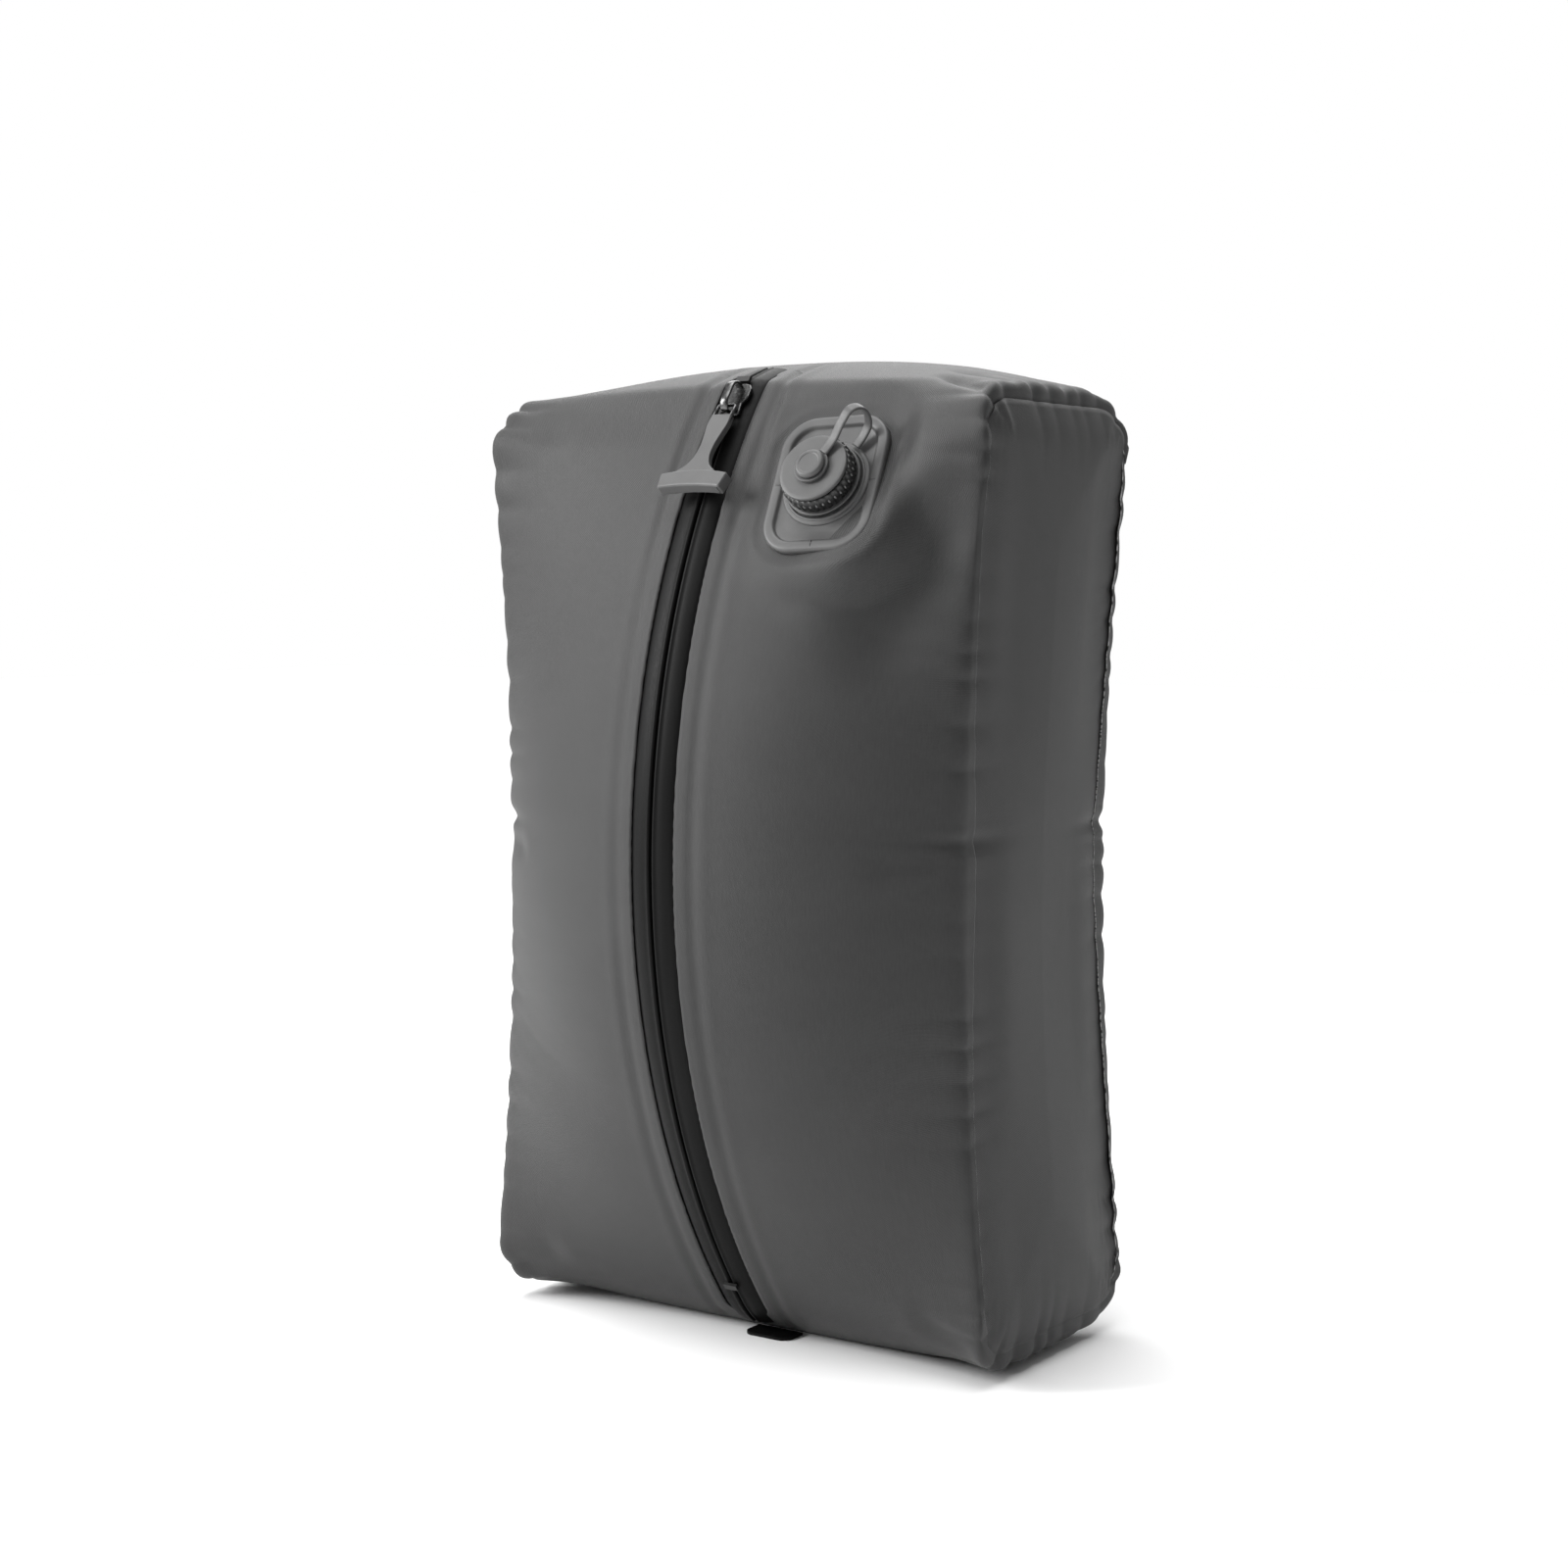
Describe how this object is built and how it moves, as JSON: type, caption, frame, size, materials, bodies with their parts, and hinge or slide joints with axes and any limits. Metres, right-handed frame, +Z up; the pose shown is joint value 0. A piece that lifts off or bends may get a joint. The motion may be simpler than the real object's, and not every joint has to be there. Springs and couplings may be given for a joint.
{
  "type": "packing cube",
  "caption": "Airtight fabric packing cube with a curved waterproof zip, a pull with a crossbar grip and a screw-cap air valve on a tether.",
  "frame": {"origin": "middle of the flat belly patch that the standing cube rests on", "axes": "+Z up, along the cube's longest side; the zipped front faces -Y; +X towards the valve's side"},
  "size_m": [0.246, 0.2029, 0.4026],
  "materials": {
    "bag_fabric": "matte",
    "zip_tape": "satin",
    "zip_coil": "satin",
    "seal_rubber": "matte",
    "gunmetal": "polished",
    "grip_plastic": "satin",
    "valve_plastic": "satin",
    "dark_plastic": "matte"
  },
  "bodies": {
    "root": {"front_wrap": "bag_fabric", "back_panel": "bag_fabric", "side_panel_left": "bag_fabric", "side_panel_right": "bag_fabric", "zip_tape_left": "zip_tape", "zip_tape_right": "zip_tape", "zip_coil_left": "zip_coil", "zip_coil_right": "zip_coil", "zip_dock_top": "seal_rubber", "zip_dock_bottom": "seal_rubber", "zip_stop_top": "zip_coil", "zip_stop_bottom": "zip_coil", "zip_end_tab": "zip_tape", "valve_flange": "valve_plastic", "valve_inner_ring": "valve_plastic", "valve_neck": "valve_plastic", "valve_seat": "valve_plastic", "tether_strap": "valve_plastic"},
    "slider": {"zip_slider": "gunmetal", "slider_bridge": "gunmetal"},
    "pull": {"pull_link": "gunmetal", "pull_handle": "grip_plastic"},
    "cap_carrier": {"tether_eyelet": "valve_plastic"},
    "cap": {"valve_cap": "valve_plastic", "cap_grip_ring": "dark_plastic", "cap_seal_ring": "seal_rubber", "tether_button": "valve_plastic"},
    "diaphragm": {"check_diaphragm": "seal_rubber"}
  },
  "joints": [
    {"name": "zip_travel", "type": "hinge", "parent": "root", "child": "slider", "pos_m": [0, 0.2095, 0.2015], "axis": [1, 0, 0], "range_deg": [0, 67.5]},
    {"name": "pull_swing", "type": "hinge", "parent": "slider", "child": "pull", "pos_m": [0, -0.05474, 0.3824], "axis": [-1, 0, 0], "range_deg": [0, 114]},
    {"name": "cap_lift", "type": "slide", "parent": "root", "child": "cap_carrier", "axis": [0.0564, -0.8719, 0.4863], "range_m": [0, 0.0045], "deforming": ["tether_strap"]},
    {"name": "cap_turn", "type": "hinge", "parent": "cap_carrier", "child": "cap", "pos_m": [0.0555, -0.06535, 0.349], "axis": [0.0564, -0.8719, 0.4863], "range_deg": [0, 540]},
    {"name": "diaphragm_travel", "type": "slide", "parent": "root", "child": "diaphragm", "axis": [-0.0564, 0.8719, -0.4863], "range_m": [0, 0.0012], "stiffness_N_per_m": 20, "springref_m": -0.0005}
  ],
  "couplings": [
    {"joint": "cap_lift", "follows": "cap_turn", "m_per_rad": 0.000477}
  ]
}
